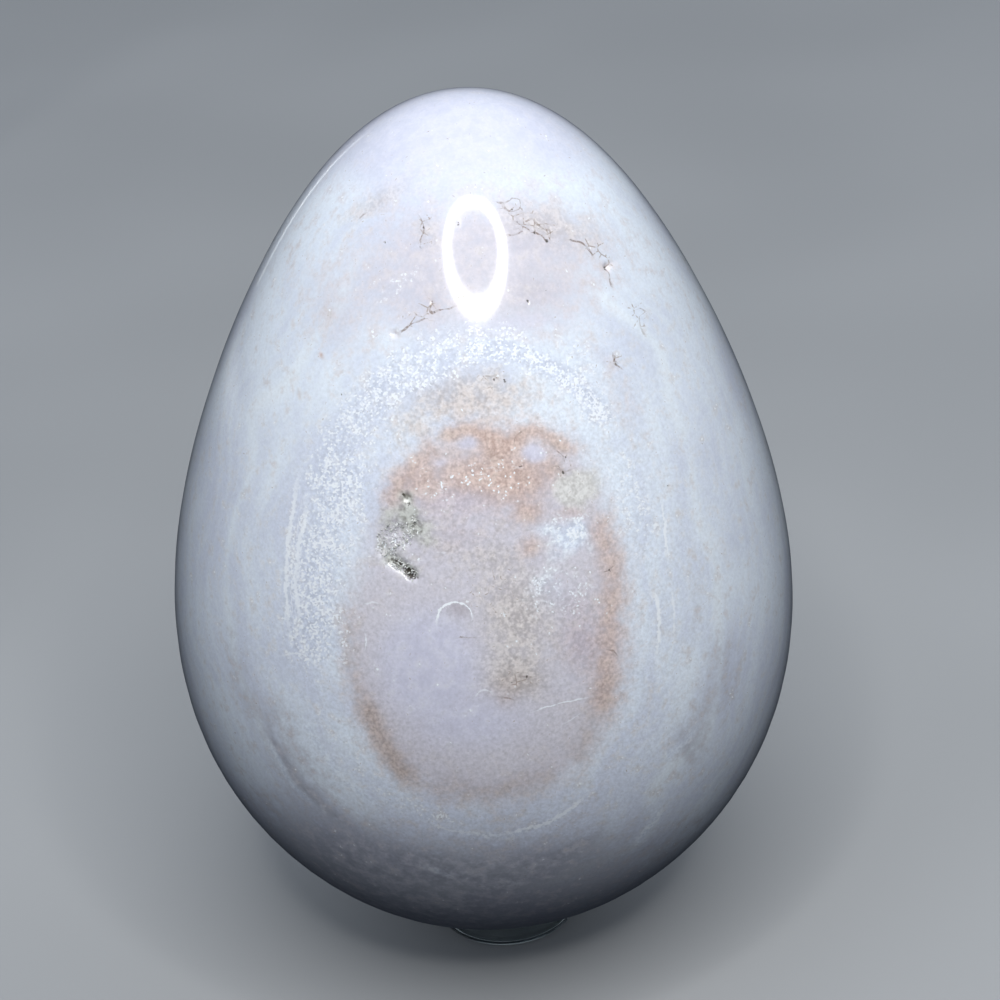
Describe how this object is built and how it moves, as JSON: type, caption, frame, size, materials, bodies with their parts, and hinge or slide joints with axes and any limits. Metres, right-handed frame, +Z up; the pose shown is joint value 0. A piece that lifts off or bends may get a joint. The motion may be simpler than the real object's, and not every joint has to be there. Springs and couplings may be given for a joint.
{
  "type": "polished jasper egg on a ring stand",
  "caption": "Polished stone egg with a banded, quartz-ringed eye, resting pointed end up in a small clear ring stand.",
  "frame": {"origin": "on the ground, at the middle of the box around the egg and its ring", "axes": "+Z up, from the ring to the egg's pointed end; -Y is the side with the eye; the egg leans 2.5 degrees towards +X"},
  "size_m": [0.062, 0.062, 0.0914],
  "materials": {
    "polished_stone": "polished milky chalcedony and fine quartz, with a peach eye",
    "clear_ring": "clear and smooth"
  },
  "bodies": {
    "root": {"egg": "polished_stone", "ring_stand": "clear_ring"}
  },
  "joints": []
}
